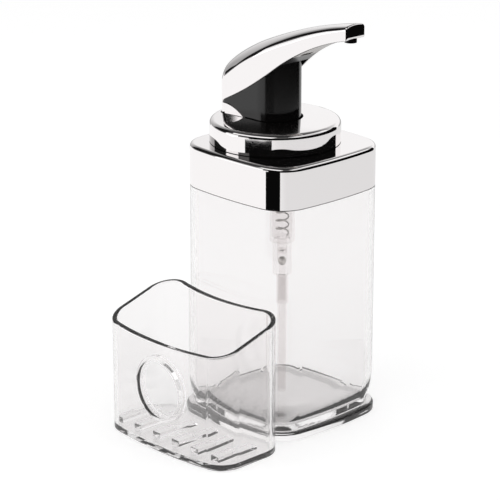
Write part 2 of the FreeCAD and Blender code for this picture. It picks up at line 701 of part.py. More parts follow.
# Liner: the plug in the bottle's mouth, with a flange on the rim and a deck that carries the pump
PLUG_INSET = size.bottle_wall + size.plug_clear
liner = new_body("collar_liner")
plug = new_sketch(liner, "XY_Plane", "plug", DECK_FOOT)
bowed_square(plug, PLUG_INSET)
pad(liner, plug, PLATE_UNDER - DECK_FOOT)
flange = new_sketch(liner, "XY_Plane", "flange", FLANGE_FOOT)
bowed_square(flange, size.collar_wall + size.collar_fit)
pad(liner, flange, size.flange_thick)
well = new_sketch(liner, "XY_Plane", "well", DECK_TOP)
bowed_square(well, PLUG_INSET + size.liner_wall)
pocket(liner, well, PLATE_UNDER - DECK_TOP)
pillars = new_sketch(liner, "XY_Plane", "pillars", DECK_TOP)
pilots = new_sketch(liner, "XY_Plane", "pilots", DECK_TOP)
for x, y in pillar_places():
    circle(pillars, x, y, size.pillar_radius)
    circle(pilots, x, y, size.screw_shank)
pad(liner, pillars, PILLAR_TOP - DECK_TOP)
pocket(liner, pilots, PILLAR_TOP - DECK_TOP)
pump_hole = new_sketch(liner, "XY_Plane", "pump_hole", DECK_FOOT)
circle(pump_hole, 0, 0, CYLINDER_OUTER + size.deck_fit)
pocket(liner, pump_hole, size.deck_thick)

# Seal between the bottle's rim and the liner's flange
seal = new_body("lid_seal")
seal_plan = new_sketch(seal, "XY_Plane", "plan", RIM_TOP)
bowed_square(seal_plan, size.rim_inset)
bowed_square(seal_plan, size.bottle_wall)
pad(seal, seal_plan, size.seal_thick)

# Cap: plated round cover, set back towards the head's heel, with an opening for the head
CAP_CENTRE = -size.cap_setback
CROWN_FOOT = size.cap_radius - size.cap_edge
CROWN_RADIUS = (CROWN_FOOT ** 2 + size.cap_crown ** 2) / (2 * size.cap_crown)
cap = turned(
    "cap_cover",
    [
        (0, CAP_INSIDE),
        (size.cap_radius - size.cap_wall, CAP_INSIDE),
        (size.cap_radius - size.cap_wall, CAP_FOOT),
        (size.cap_radius, CAP_FOOT),
        (size.cap_radius, CAP_RIM - size.cap_edge),
        (CROWN_FOOT, CAP_RIM),
        (0, CAP_RIM + size.cap_crown),
    ],
    {4: size.cap_edge, 5: CROWN_RADIUS},
    at=CAP_CENTRE,
)
cap_opening = new_sketch(cap, "XY_Plane", "opening", CAP_INSIDE)
bind(cap_opening, "AttachmentOffset.Base.x", size.cap_setback)
head_plan(cap_opening, size.head_clear)
pocket(cap, cap_opening, size.cap_top + 2 * size.cap_crown)

# Guide: holds the cap on the collar and lets the head slide through
guide = new_body("cap_guide")
guide_flange = new_sketch(guide, "XY_Plane", "flange", COLLAR_TOP)
circle(guide_flange, CAP_CENTRE, 0, size.cap_radius - size.cap_wall - size.cap_fit)
pad(guide, guide_flange, size.guide_flange)
sleeve = new_sketch(guide, "XY_Plane", "sleeve", COLLAR_TOP)
head_plan(sleeve, size.head_clear + size.guide_wall)
pad(guide, sleeve, CAP_INSIDE - COLLAR_TOP)
lugs = new_sketch(guide, "XY_Plane", "lugs", PILLAR_TOP)
clearance_holes = new_sketch(guide, "XY_Plane", "clearance_holes", PILLAR_TOP)
for x, y in pillar_places():
    circle(lugs, x, y, size.pillar_radius)
    circle(clearance_holes, x, y, size.screw_shank)
pad(guide, lugs, COLLAR_TOP - PILLAR_TOP)
passage = new_sketch(guide, "XY_Plane", "passage", PILLAR_TOP)
head_plan(passage, size.head_clear)
pocket(guide, passage, CAP_INSIDE - PILLAR_TOP)
pocket(guide, clearance_holes, COLLAR_TOP + size.guide_flange - PILLAR_TOP)

# Cap screws: from the guide's flange down into the liner's pillars
screws = new_body("cap_screws")
screws.AllowCompound = True
SCREW_SEAT = COLLAR_TOP + size.guide_flange
shanks = new_sketch(screws, "XY_Plane", "shanks", SCREW_SEAT - size.screw_length)
heads = new_sketch(screws, "XY_Plane", "heads", SCREW_SEAT)
for x, y in pillar_places():
    circle(shanks, x, y, size.screw_shank)
    circle(heads, x, y, size.screw_head)
pad(screws, shanks, size.screw_length + size.screw_head_height / 2)
pad(screws, heads, size.screw_head_height)

# Pump cylinder, hung in the deck by its flange
turned(
    "pump_cylinder",
    [
        (size.ledge_bore, size.cylinder_foot),
        (CYLINDER_OUTER, size.cylinder_foot),
        (CYLINDER_OUTER, DECK_TOP + size.gasket_thick),
        (size.pump_flange, DECK_TOP + size.gasket_thick),
        (size.pump_flange, FLANGE_TOP),
        (size.cylinder_bore, FLANGE_TOP),
        (size.cylinder_bore, LEDGE_TOP),
        (size.ledge_bore, LEDGE_TOP),
    ],
)


def ring(label, inner, outer, low, high):
    return turned(label, [(inner, low), (outer, low), (outer, high), (inner, high)])


DECK_BORE = CYLINDER_OUTER + size.deck_fit
ring("pump_gasket", DECK_BORE, size.pump_flange, DECK_TOP, DECK_TOP + size.gasket_thick)

# Nut that locks the cylinder under the deck
nut_block = doc.addObject("Part::Prism", "nut_block")
nut_block.Polygon = 6
bind(nut_block, "Circumradius", size.nut_radius)
bind(nut_block, "Height", size.nut_height)
bind(nut_block, "Placement.Base.z", DECK_FOOT - size.nut_height)
bore_foot = DECK_FOOT - 2 * size.nut_height
nut_bore = upright_cylinder("nut_bore", 0, 0, bore_foot, DECK_BORE, 4 * size.nut_height)
boolean("Cut", "pump_nut", nut_block, nut_bore)

# Closure on the cylinder, which guides the stem and stops the piston
HUB_TOP = SOCKET_FLOOR - size.stroke - size.hub_gap
STEM_GUIDE = size.stem_radius + size.running_fit
turned(
    "cylinder_closure",
    [
        (STEM_GUIDE, FLANGE_TOP),
        (size.pump_flange, FLANGE_TOP),
        (size.pump_flange, FLANGE_TOP + size.closure_thick),
        (size.closure_hub, FLANGE_TOP + size.closure_thick),
        (size.closure_hub, HUB_TOP),
        (STEM_GUIDE, HUB_TOP),
    ],
)

# Foot valve: ball seat above, socket for the dip tube below
turned(
    "foot_valve",
    [
        (size.dip_radius, VALVE_FOOT - size.socket_length),
        (size.dip_radius + size.socket_wall, VALVE_FOOT - size.socket_length),
        (size.dip_radius + size.socket_wall, VALVE_FOOT),
        (size.valve_radius, VALVE_FOOT),
        (size.valve_radius, size.cylinder_foot),
        (size.ledge_bore, size.cylinder_foot),
        (size.ledge_bore, LEDGE_TOP),
        (size.valve_bore, LEDGE_TOP),
        (size.valve_bore, SEAT_TOP),
        (size.seat_bore, SEAT_FOOT),
        (size.seat_bore, SOCKET_TOP),
        (size.dip_radius, SOCKET_TOP),
    ],
)
ball = doc.addObject("Part::Sphere", "inlet_ball")
bind(ball, "Radius", size.ball_radius)
bind(ball, "Placement.Base.z", BALL_HEIGHT)
retainer_top = RETAINER_FOOT + size.retainer_thick
retainer_ring = ring("retainer_ring", size.retainer_bore, size.valve_bore, RETAINER_FOOT, retainer_top)
retainer_bar = doc.addObject("Part::Box", "retainer_bar")
bind(retainer_bar, "Length", size.retainer_bore + size.valve_bore)
bind(retainer_bar, "Width", size.retainer_bar)
bind(retainer_bar, "Height", size.retainer_thick)
bind(retainer_bar, "Placement.Base.x", -(size.retainer_bore + size.valve_bore) / 2)
bind(retainer_bar, "Placement.Base.y", -size.retainer_bar / 2)
bind(retainer_bar, "Placement.Base.z", RETAINER_FOOT)
boolean("Fuse", "ball_retainer", retainer_ring, retainer_bar)
ring("dip_tube", size.dip_bore, size.dip_radius, CAVITY_FLOOR + size.dip_clear, SOCKET_TOP)

# Piston on the hollow stem, which the head pushes down
ring("piston", size.stem_radius, size.cylinder_bore - size.running_fit, PISTON_FOOT, FLANGE_TOP)
ring("pump_stem", size.stem_bore, size.stem_radius, PISTON_FOOT, STEM_TOP)


# Return spring: one wire wound from biarcs, two to each half turn, with a short straight run at each end
def biarc(first, first_way, last, last_way):
    """The two arcs that leave first along first_way and reach last along last_way."""
    span = last - first
    ways = first_way + last_way
    spread = 2 * (1 - first_way.dot(last_way))
    along = span.dot(ways)
    reach = (-along + math.sqrt(along ** 2 + spread * span.dot(span))) / spread
    joint = (first + last + (first_way - last_way) * reach) * 0.5
    joint_way = (last - last_way * reach - first - first_way * reach).normalize()
    edges = []
    for start, start_way, end in ((first, first_way, joint), (joint, joint_way, last)):
        chord = end - start
        across = chord - start_way * chord.dot(start_way)
        half_angle = math.acos(min(1.0, chord.dot(start_way) / chord.Length))
        sagitta = chord.Length / 2 * math.tan(half_angle / 2)
        outward = (start_way - chord.normalize() * start_way.dot(chord.normalize())).normalize()
        middle = (start + end) * 0.5 + outward * sagitta
        if across.Length < 1e-9:
            edges.append(Part.LineSegment(start, end).toShape())
        else:
            edges.append(Part.Arc(start, middle, end).toShape())
    return edges


def helix_point(radius, foot, pitch, turns):
    angle = 2 * math.pi * turns
    return FreeCAD.Vector(radius * math.cos(angle), radius * math.sin(angle), foot + pitch * turns)


def helix_way(radius, pitch, turns):
    angle = 2 * math.pi * turns
    rise = pitch / (2 * math.pi * radius)
    return FreeCAD.Vector(-math.sin(angle), math.cos(angle), rise).normalize()


spring_radius = number_of(size.spring_radius)
wire_radius = number_of(size.spring_wire / 2)
turn_count = int(number_of(size.spring_turns))
spring_foot = number_of(LEDGE_TOP + size.spring_gap + 1.5 * size.spring_wire)
spring_top = number_of(PISTON_FOOT - size.spring_gap - 1.5 * size.spring_wire)
pitch = (spring_top - spring_foot) / turn_count
wire_path = []
for half_turn in range(2 * turn_count):
    start_turn = half_turn / 2
    end_turn = start_turn + 0.5
    wire_path += biarc(
        helix_point(spring_radius, spring_foot, pitch, start_turn),
        helix_way(spring_radius, pitch, start_turn),
        helix_point(spring_radius, spring_foot, pitch, end_turn),
        helix_way(spring_radius, pitch, end_turn),
    )
first_point = helix_point(spring_radius, spring_foot, pitch, 0)
first_way = helix_way(spring_radius, pitch, 0)
last_point = helix_point(spring_radius, spring_foot, pitch, turn_count)
last_way = helix_way(spring_radius, pitch, turn_count)
run = 2 * wire_radius
lead_in = first_point - first_way * run
lead_out = last_point + last_way * run
wire_path.insert(0, Part.LineSegment(lead_in, first_point).toShape())
wire_path.append(Part.LineSegment(last_point, lead_out).toShape())
spine = Part.Wire(wire_path)
section_edge = Part.Circle(lead_in, first_way, wire_radius).toShape()
spring = doc.addObject("Part::Feature", "return_spring")
spring.Shape = spine.makePipeShell([Part.Wire([section_edge])], True, False)
spine_points = spine.discretize(Distance=wire_radius)
nearest = math.inf
apart = int(math.pi * spring_radius / wire_radius)
for number, point in enumerate(spine_points):
    for other in spine_points[number + apart:]:
        nearest = min(nearest, (other - point).Length)
print(f"return_spring: least gap to itself {nearest - 2 * wire_radius:.2f} mm, pitch {pitch:.2f} mm")

# Head shell: a plated hood and spout, open below over the neck
HEEL_TOP = CAP_RIM + size.heel_rise
SHELL_LOW = HEEL_TOP + size.heel_gap
HEAD_BACK = -size.head_back
BELOW = NECK_FOOT - size.neck_sink
ABOVE = TIP_TOP + size.head_half
MARGIN = size.head_half
SPOUT_FOOT = size.curve_at, CAP_RIM + size.curve_rise
SPOUT_TIP = size.tip_at, TIP_LOW
BACK_ROUND_FOOT = CAP_RIM + size.back_round_foot


def hood_section(body, name, at, half, low, top, crown):
    """A section across the head: upright sides and a round crown."""
    section = new_sketch(body, "YZ_Plane", name, at)
    shoulder = top - crown
    crown_radius = (half ** 2 + crown ** 2) / (crown * 2)
    corners = [(-half, low), (half, low), (half, shoulder), (0, top), (-half, shoulder)]
    outline(section, corners, {2: crown_radius, 3: crown_radius})
    return section


def station_sizes(station):
    """A station's place along X, half width, height of its top, and depth of its crown."""
    at, half, crest, crown = [getattr(size, f"{station}_{word}") for word in STATION_SIZES]
    return at, half, CAP_RIM + crest, crown


shell = new_body("head_shell")
outer_sections = []
for station in STATIONS:
    at, half, top, crown = station_sizes(station)
    outer_sections.append(hood_section(shell, f"outer_{station}", at, half, NECK_FOOT, top, crown))
loft(shell, "AdditiveLoft", outer_sections)
inner_sections = []
for station in STATIONS:
    at, half, top, crown = station_sizes(station)
    inner_top = top - size.head_wall
    if station == "back":
        at = at + size.back_thick
        inner_top = top + size.head_wall
    if station == "tip":
        at = at - size.head_wall
    inner_sections.append(
        hood_section(shell, f"inner_{station}", at, half - size.head_wall, BELOW, inner_top, crown)
    )
loft(shell, "SubtractiveLoft", inner_sections)
profile = new_sketch(shell, "XZ_Plane", "profile")
outline(
    profile,
    [
        (HEAD_BACK - MARGIN, SHELL_LOW),
        (HEAD_BACK - MARGIN, BELOW),
        (size.tip_at + MARGIN, BELOW),
        (size.tip_at + MARGIN, TIP_LOW),
        SPOUT_TIP,
        SPOUT_FOOT,
        (HEAD_BACK + size.flat_edge, SHELL_LOW),
    ],
    {4: size.spout_curve, 5: -size.rear_curve},
)
round_end = HEAD_BACK + size.back_round_reach
outline(
    profile,
    [
        (HEAD_BACK, BACK_ROUND_FOOT),
        (round_end, BACK_ROUND_FOOT + size.back_round_rise),
        (round_end, ABOVE),
        (HEAD_BACK - MARGIN, ABOVE),
        (HEAD_BACK - MARGIN, BACK_ROUND_FOOT),
    ],
    {0: -size.back_round},
)
pocket(shell, profile, size.head_half * 4, both_ways=True)
back_corners = new_sketch(shell, "XY_Plane", "back_corners", BELOW)
corner_start = HEAD_BACK + size.head_corner
corner_inside = size.head_half - size.head_corner
corner_outside = size.head_half + MARGIN
for side_sign in (1, -1):
    corners = [
        (HEAD_BACK, corner_inside * side_sign),
        (corner_start, size.head_half * side_sign),
        (corner_start, corner_outside * side_sign),
        (HEAD_BACK - MARGIN, corner_outside * side_sign),
        (HEAD_BACK - MARGIN, corner_inside * side_sign),
    ]
    if side_sign > 0:
        outline(back_corners, corners, {0: -size.head_corner})
    else:
        outline(back_corners, corners[::-1], {3: -size.head_corner})
pocket(shell, back_corners, ABOVE - BELOW)

# Heel: a plated trim round the back of the neck, below the shell
heel = new_body("head_heel")
heel_plan = new_sketch(heel, "XY_Plane", "plan", NECK_FOOT)
head_plan(heel_plan, 0)
pad(heel, heel_plan, HEEL_TOP - NECK_FOOT)
heel_hollow = new_sketch(heel, "XY_Plane", "hollow", NECK_FOOT)
head_plan(heel_hollow, -size.head_wall)
pocket(heel, heel_hollow, HEEL_TOP - NECK_FOOT)
heel_front = new_sketch(heel, "XZ_Plane", "front")
outline(
    heel_front,
    [
        (-size.heel_front, CAP_RIM + size.cap_crown / 2),
        (-size.heel_front, BELOW),
        (MARGIN * 2, BELOW),
        (MARGIN * 2, ABOVE),
        (HEAD_BACK + size.head_wall, ABOVE),
        (HEAD_BACK + size.head_wall, HEEL_TOP),
    ],
    {5: -size.heel_curve},
)
pocket(heel, heel_front, size.head_half * 4, both_ways=True)


# Neck core: black, hollow, with a socket for the stem; it fills the shell's open sides
def sloping_block(label, grow, foot, drop):
    """The head's plan, grown, from a level up to the neck's sloping roof, lowered by drop."""
    block = new_body(label)
    plan = new_sketch(block, "XY_Plane", "plan", foot)
    head_plan(plan, grow)
    front = size.head_half * 3
    back = -size.head_back * 2
    roof_level = CAP_RIM + size.neck_back_rise - drop
    roof_back = roof_level - size.neck_slope * size.head_back
    roof_front = roof_level + size.neck_slope * (size.head_back + front)
    pad(block, plan, roof_front - foot)
    roof = new_sketch(block, "XZ_Plane", "roof")
    outline(
        roof,
        [(back, roof_back), (front, roof_front), (front, 2 * roof_front), (back, 2 * roof_front)],
    )
    pocket(block, roof, 4 * size.head_half, both_ways=True)
    return block


neck_outside = sloping_block("neck_outside", -size.neck_inset, NECK_FOOT, 0)
hollow_grow = -size.neck_inset - size.neck_wall
neck_inside = sloping_block("neck_inside", hollow_grow, BELOW, size.neck_wall * 1.3)
neck_shell = boolean("Cut", "neck_shell", neck_outside, neck_inside)
socket_height = STEM_TOP + size.neck_wall - SOCKET_FLOOR
socket = upright_cylinder("stem_socket", 0, 0, SOCKET_FLOOR, size.socket_radius, socket_height)
neck_with_socket = boolean("Fuse", "neck_with_socket", neck_shell, socket)
stem_hole = upright_cylinder("stem_hole", 0, 0, BELOW, size.stem_radius, STEM_TOP - BELOW)
neck_bored = boolean("Cut", "neck_bored", neck_with_socket, stem_hole)
tube_hole_foot = STEM_TOP - size.neck_wall
tube_hole = upright_cylinder("tube_hole", 0, 0, tube_hole_foot, size.tube_radius, 2 * size.head_half)
neck_drilled = boolean("Cut", "neck_drilled", neck_bored, tube_hole)
neck_in_shell = boolean("Cut", "neck_in_shell", neck_drilled, shell)
boolean("Cut", "head_core", neck_in_shell, heel)


# Underside cover of the spout, with a drain slot and the nozzle's hole
def arc_centre(first, last, radius):
    """The middle of the arc from first to last, on the left of the way between them."""
    half_x = (last[0] - first[0]) / 2
    half_y = (last[1] - first[1]) / 2
    chord = half_x ** 2 + half_y ** 2
    reach = root(radius ** 2 / chord - 1)
    return (first[0] + half_x - half_y * reach, first[1] + half_y + half_x * reach)


def moved_out(point, centre, share):
    """A point pushed away from a centre by a share of its distance."""
    return (point[0] + (point[0] - centre[0]) * share, point[1] + (point[1] - centre[1]) * share)


cover = new_body("spout_cover")
cover_sections = []
for station in ("throat", "waist", "beak", "tip"):
    at, half, top, crown = station_sizes(station)
    if station == "tip":
        at = at - size.head_wall - size.cover_fit
    edge = half - size.head_wall - size.cover_fit
    section = new_sketch(cover, "YZ_Plane", station, at)
    rectangle(section, -edge, edge, NECK_FOOT, TIP_TOP)
    cover_sections.append(section)
loft(cover, "AdditiveLoft", cover_sections)
spout_centre = arc_centre(SPOUT_TIP, SPOUT_FOOT, size.spout_curve)
cover_share = size.cover_thick / size.spout_curve
cover_tip = moved_out(SPOUT_TIP, spout_centre, cover_share)
cover_foot = moved_out(SPOUT_FOOT, spout_centre, cover_share)
strip = new_sketch(cover, "XZ_Plane", "strip")
outline(
    strip,
    [
        (size.curve_at, BELOW),
        (size.tip_at + MARGIN, BELOW),
        (size.tip_at + MARGIN, TIP_LOW),
        SPOUT_TIP,
        SPOUT_FOOT,
    ],
    {3: size.spout_curve},
)
outline(
    strip,
    [
        cover_foot,
        cover_tip,
        (size.tip_at + MARGIN, cover_tip[1]),
        (size.tip_at + MARGIN, ABOVE),
        (cover_foot[0], ABOVE),
    ],
    {0: -(size.spout_curve + size.cover_thick)},
)
pocket(cover, strip, size.head_half * 4, both_ways=True)
cover_holes = new_sketch(cover, "XY_Plane", "holes", BELOW)
rectangle(
    cover_holes,
    size.slot_at - size.slot_width / 2,
    size.slot_at + size.slot_width / 2,
    -size.slot_length / 2,
    size.slot_length / 2,
)
circle(cover_holes, size.nozzle_at, 0, size.nozzle_radius + size.cover_fit)
pocket(cover, cover_holes, ABOVE - BELOW)

# Delivery tube from the stem up through the neck's roof and along the spout into the nozzle
INLET_HEIGHT = TIP_LOW + size.nozzle_inlet
tube_start = FreeCAD.Vector(0, 0, number_of(STEM_TOP))
tube_corner = FreeCAD.Vector(0, 0, number_of(CAP_RIM + size.tube_bend_rise))
tube_reach = number_of(size.nozzle_at - size.nozzle_block + size.tube_socket)
tube_end = FreeCAD.Vector(tube_reach, 0, number_of(INLET_HEIGHT))
way_up = (tube_corner - tube_start).normalize()
way_out = (tube_end - tube_corner).normalize()
turn_angle = way_up.getAngle(way_out)
tube_bend = number_of(size.tube_bend)
setback = tube_bend * math.tan(turn_angle / 2)
bend_start = tube_corner - way_up * setback
bend_end = tube_corner + way_out * setback
inward = (way_out - way_up).normalize()
bend_middle = tube_corner + inward * tube_bend * (1 / math.cos(turn_angle / 2) - 1)
tube_path = Part.Wire(
    [
        Part.LineSegment(tube_start, bend_start).toShape(),
        Part.Arc(bend_start, bend_middle, bend_end).toShape(),
        Part.LineSegment(bend_end, tube_end).toShape(),
    ]
)


def rod_along_path(name, radius):
    """A round bar along the tube's path."""
    edge = Part.Circle(tube_start, way_up, number_of(radius)).toShape()
    rod = doc.addObject("Part::Feature", name)
    rod.Shape = tube_path.makePipeShell([Part.Wire([edge])], True, False)
    return rod


tube_outside = rod_along_path("tube_outside", size.tube_radius)
tube_inside = rod_along_path("tube_inside", size.tube_bore)
boolean("Cut", "delivery_tube", tube_outside, tube_inside)

# Nozzle: its foot shows under the spout's tip; the block above it takes the delivery tube
NOZZLE_FOOT = TIP_LOW - size.nozzle_drop
FOOT_TOP = TIP_LOW - size.nozzle_seat
BORE_TOP = INLET_HEIGHT + size.nozzle_bore * 1.25
nozzle_turned = turned(
    "nozzle_turned",
    [
        (size.nozzle_bore, NOZZLE_FOOT),
        (size.nozzle_radius, NOZZLE_FOOT),
        (size.nozzle_radius, FOOT_TOP),
        (size.nozzle_block, FOOT_TOP),
        (size.nozzle_block, INLET_HEIGHT + size.nozzle_roof),
        (0, INLET_HEIGHT + size.nozzle_roof),
        (0, BORE_TOP),
        (size.nozzle_bore, BORE_TOP),
    ],
    at=size.nozzle_at,
)
nozzle_inlet = doc.addObject("Part::Cylinder", "inlet_hole")
bind(nozzle_inlet, "Radius", size.tube_bore)
bind(nozzle_inlet, "Height", size.nozzle_block * 2)
bind(nozzle_inlet, "Placement.Base.x", size.nozzle_at - 2 * size.nozzle_block)
bind(nozzle_inlet, "Placement.Base.z", INLET_HEIGHT)
nozzle_inlet.Placement.Rotation = FreeCAD.Rotation(FreeCAD.Vector(0, 1, 0), 90)
nozzle_bored = boolean("Cut", "nozzle_bored", nozzle_turned, nozzle_inlet)
boolean("Cut", "nozzle", nozzle_bored, tube_outside)

PARTS = [
    "bottle", "bottle_base", "caddy", "collar_cover", "collar_liner", "lid_seal",
    "cap_cover", "cap_guide", "cap_screws", "pump_cylinder", "pump_gasket", "pump_nut",
    "cylinder_closure", "foot_valve", "ball_retainer", "inlet_ball", "dip_tube", "return_spring",
    "piston", "pump_stem", "head_shell", "head_heel", "head_core", "spout_cover", "nozzle", "delivery_tube",
]
doc.recompute()
for item in doc.Objects:
    if "Invalid" in item.State or "Error" in item.State:
        raise RuntimeError(f"{item.Label} failed: {item.State}")
for label in PARTS:
    shape = doc.getObject(label).Shape
    if shape.isNull() or not shape.isValid():
        raise RuntimeError(f"{label} has no sound shape")
for label in PARTS:
    item = doc.getObject(label)
    item.Label = label
    item.Shape.exportStep(f"parts/{label}.step")
    box = item.Shape.BoundBox
    print(f"{label}: {len(item.Shape.Solids)} solids, {item.Shape.Volume:.0f} mm3,"
          f" z {box.ZMin:.1f} to {box.ZMax:.1f}")
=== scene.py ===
import math

import bpy
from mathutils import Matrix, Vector


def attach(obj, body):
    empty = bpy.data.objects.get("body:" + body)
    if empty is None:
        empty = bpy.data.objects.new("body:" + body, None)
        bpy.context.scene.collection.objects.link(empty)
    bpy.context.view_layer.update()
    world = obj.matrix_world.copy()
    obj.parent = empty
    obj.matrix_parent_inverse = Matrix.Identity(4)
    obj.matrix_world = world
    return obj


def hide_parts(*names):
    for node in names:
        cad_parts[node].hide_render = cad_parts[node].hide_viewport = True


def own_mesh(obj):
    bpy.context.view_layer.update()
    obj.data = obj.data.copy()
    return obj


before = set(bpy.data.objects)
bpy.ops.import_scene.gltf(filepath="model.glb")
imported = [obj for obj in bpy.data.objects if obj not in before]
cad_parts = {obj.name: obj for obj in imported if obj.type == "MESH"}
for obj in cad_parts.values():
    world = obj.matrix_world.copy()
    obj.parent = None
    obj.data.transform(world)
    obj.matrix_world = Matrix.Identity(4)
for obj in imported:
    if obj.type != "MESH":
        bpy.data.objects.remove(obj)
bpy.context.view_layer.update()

# Bottle: a clear body with bowed sides and a drawn-in foot, open at the top under the lid.
# It is injection moulded in acrylic and polished by the mould. The eye sees almost nothing of its
# walls, and grey only where a wall is seen along its length.


def linear(code):
    """An sRGB hex colour as linear RGBA."""
    channels = [int(code[n:n + 2], 16) / 255 for n in (1, 3, 5)]
    return [c / 12.92 if c <= 0.04045 else ((c + 0.055) / 1.055) ** 2.4 for c in channels] + [1.0]


def new_material(name):
    """An empty node material and its tree."""
    material = bpy.data.materials.new(name)
    material.use_nodes = True
    material.node_tree.nodes.clear()
    return material, material.node_tree


def add(tree, kind, settings=None, **inputs):
    """Adds a node, sets its properties, and sets or links its inputs, by name or as i0, i1 by number."""
    node = tree.nodes.new(kind)
    for key, value in (settings or {}).items():
        setattr(node, key, value)
    for key, value in inputs.items():
        by_number = key[0] == "i" and key[1:].isdigit()
        socket = node.inputs[int(key[1:])] if by_number else node.inputs[key.replace("_", " ")]
        if isinstance(value, bpy.types.NodeSocket):
            tree.links.new(value, socket)
        else:
            socket.default_value = value
    return node


def dress(material, *nodes):
    """Gives CAD nodes a material."""
    for name in nodes:
        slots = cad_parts[name].data.materials
        slots.clear()
        slots.append(material)


def per_metre(millimetres):
    """A pattern's scale for a feature of that size."""
    return 1000 / millimetres


# Acrylic: flow in the mould leaves a ripple some 22 mm long, and wiping leaves a faint haze.
# Light that falls through it onto other things loses a little at each face.
acrylic, tree = new_material("clear_acrylic")
place = add(tree, "ShaderNodeTexCoord")
flow = add(tree, "ShaderNodeTexNoise", Vector=place.outputs["Object"], Scale=per_metre(22), Detail=2.0)
haze = add(tree, "ShaderNodeTexNoise", Vector=place.outputs["Object"], Scale=per_metre(3), Detail=4.0)
polish = add(tree, "ShaderNodeMapRange", Value=haze.outputs["Fac"], To_Min=0.0, To_Max=0.03)
ripple = add(tree, "ShaderNodeBump", Strength=0.04, Distance=0.001, Height=flow.outputs["Fac"])
clear = add(
    tree, "ShaderNodeBsdfPrincipled",
    Base_Color=linear("#FDFCFC"), Roughness=polish.outputs["Result"], IOR=1.49,
    Transmission_Weight=0.985, Normal=ripple.outputs["Normal"],
)
path = add(tree, "ShaderNodeLightPath")
veil = add(tree, "ShaderNodeBsdfTransparent", Color=linear("#EEEDED"))
glass = add(
    tree, "ShaderNodeMixShader",
    i0=path.outputs["Is Shadow Ray"], i1=clear.outputs[0], i2=veil.outputs[0],
)
add(tree, "ShaderNodeOutputMaterial", Surface=glass.outputs[0])
dress(acrylic, "bottle")

# Base: a low clear foot that the bottle stands in, bonded to it.
# It is moulded from the same acrylic, with a rounded rim that catches the light. Its seat lies 0.1 mm
# under the bottle, so that no two clear faces coincide. Sizes are in millimetres.
BASE_GROW = 1.0
BASE_HEIGHT = 4.4
BASE_EDGE = 1.5
EDGE_STEPS = 8
UNDER_EDGE = 0.4
UNDER_BEND = 0.12
SEAT_HEIGHT = 2.3
SEAT_INSET = 3.02
SEAT_BEVEL = 0.12
# The bottle's plan: wide arcs that turn SIDE_TURN degrees to either side, joined by round corners
SIDE_RADIUS = 231.0
SIDE_MIDDLE = -191.0
SIDE_TURN = 5.873
SIDE_STEPS = 24
CORNER_RADIUS = 17.0
CORNER_MIDDLE = 21.9
CORNER_STEPS = 16


def bowed_square(inset, z):
    """A level ring of points round the bottle's plan, set in by inset."""
    side = SIDE_RADIUS - inset
    corner = CORNER_RADIUS - inset
    quarter = []
    for n in range(SIDE_STEPS):
        angle = math.radians(SIDE_TURN * (2 * n / SIDE_STEPS - 1))
        quarter.append((SIDE_MIDDLE + side * math.cos(angle), side * math.sin(angle)))
    for n in range(CORNER_STEPS):
        angle = math.radians(SIDE_TURN + (90 - 2 * SIDE_TURN) * n / CORNER_STEPS)
        quarter.append((CORNER_MIDDLE + corner * math.cos(angle), CORNER_MIDDLE + corner * math.sin(angle)))
    ring = []
    for cosine, sine in ((1, 0), (0, 1), (-1, 0), (0, -1)):
        ring += [(x * cosine - y * sine, x * sine + y * cosine, z) for x, y in quarter]
    return ring


def skin(rows, open_rows=0):
    """Points and faces over rows of points, capped at both ends; the first open_rows don't close round."""
    count = len(rows[0])
    faces = []
    for r in range(len(rows) - 1):
        here = r * count
        for n in range(count - 1 if r < open_rows else count):
            beside = (n + 1) % count
            faces.append((here + n, here + beside, here + count + beside, here + count + n))
    points = [point for row in rows for point in row]
    faces.append(tuple(reversed(range(count))))
    faces.append(tuple(range(len(points) - count, len(points))))
    return points, faces


def new_piece(name, points, faces, materials, sharp=180):
    """A smooth mesh object from points in millimetres; edges bent by more than sharp degrees stay crisp."""
    mesh = bpy.data.meshes.new(name)
    mesh.from_pydata([[c / 1000 for c in point] for point in points], [], faces)
    mesh.update()
    mesh.shade_smooth()
    mesh.set_sharp_from_angle(angle=math.radians(sharp))
    for material in materials:
        mesh.materials.append(material)
    piece = bpy.data.objects.new(name, mesh)
    bpy.context.scene.collection.objects.link(piece)
    return piece


rings = [
    bowed_square(UNDER_EDGE - BASE_GROW, 0),
    bowed_square(UNDER_BEND - BASE_GROW, UNDER_BEND),
    bowed_square(-BASE_GROW, UNDER_EDGE),
]
for n in range(EDGE_STEPS + 1):
    turn = math.pi / 2 * n / EDGE_STEPS
    rim_inset = BASE_EDGE * (1 - math.cos(turn)) - BASE_GROW
    rings.append(bowed_square(rim_inset, BASE_HEIGHT - BASE_EDGE * (1 - math.sin(turn))))
rings += [
    bowed_square(SEAT_INSET - SEAT_BEVEL, BASE_HEIGHT),
    bowed_square(SEAT_INSET, BASE_HEIGHT - SEAT_BEVEL),
    bowed_square(SEAT_INSET, SEAT_HEIGHT),
]
points, faces = skin(rings)
foot = new_piece("clear_foot", points, faces, [acrylic], sharp=40)
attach(foot, "bottle_body")
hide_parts("bottle_base")

